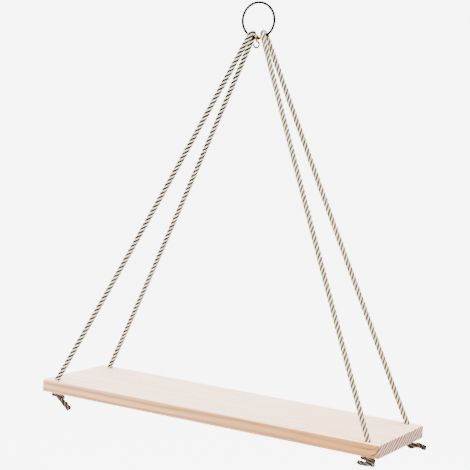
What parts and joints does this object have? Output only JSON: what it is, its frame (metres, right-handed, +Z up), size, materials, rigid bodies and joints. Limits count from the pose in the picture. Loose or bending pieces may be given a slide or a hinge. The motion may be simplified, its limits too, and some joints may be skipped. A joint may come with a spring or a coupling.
{
  "type": "hanging plant shelf with ring",
  "caption": "Small pine board slung on laid cotton ropes from a metal ring, with a wire hook under the ring, for a pot plant or ornaments.",
  "frame": {"origin": "hanging point: the inner top of the ring, where a wall or ceiling hook bears", "axes": "+X along the board to the viewer's right, +Z up, so the board's front edge faces -Y"},
  "size_m": [0.4199, 0.1254, 0.4562],
  "materials": {
    "pine": "planed, unvarnished",
    "cotton_rope": "four-strand laid rope",
    "polished_brass": "polished"
  },
  "bodies": {
    "shelf": {"board": "pine", "rope_left": "cotton_rope", "rope_right": "cotton_rope", "ring": "polished_brass"},
    "hook": {"hook": "polished_brass"}
  },
  "joints": [
    {"name": "hook_swing", "type": "hinge", "parent": "shelf", "child": "hook", "pos_m": [0, 0, -0.03595], "axis": [1, 0, 0], "range_deg": [-85, 85]}
  ]
}
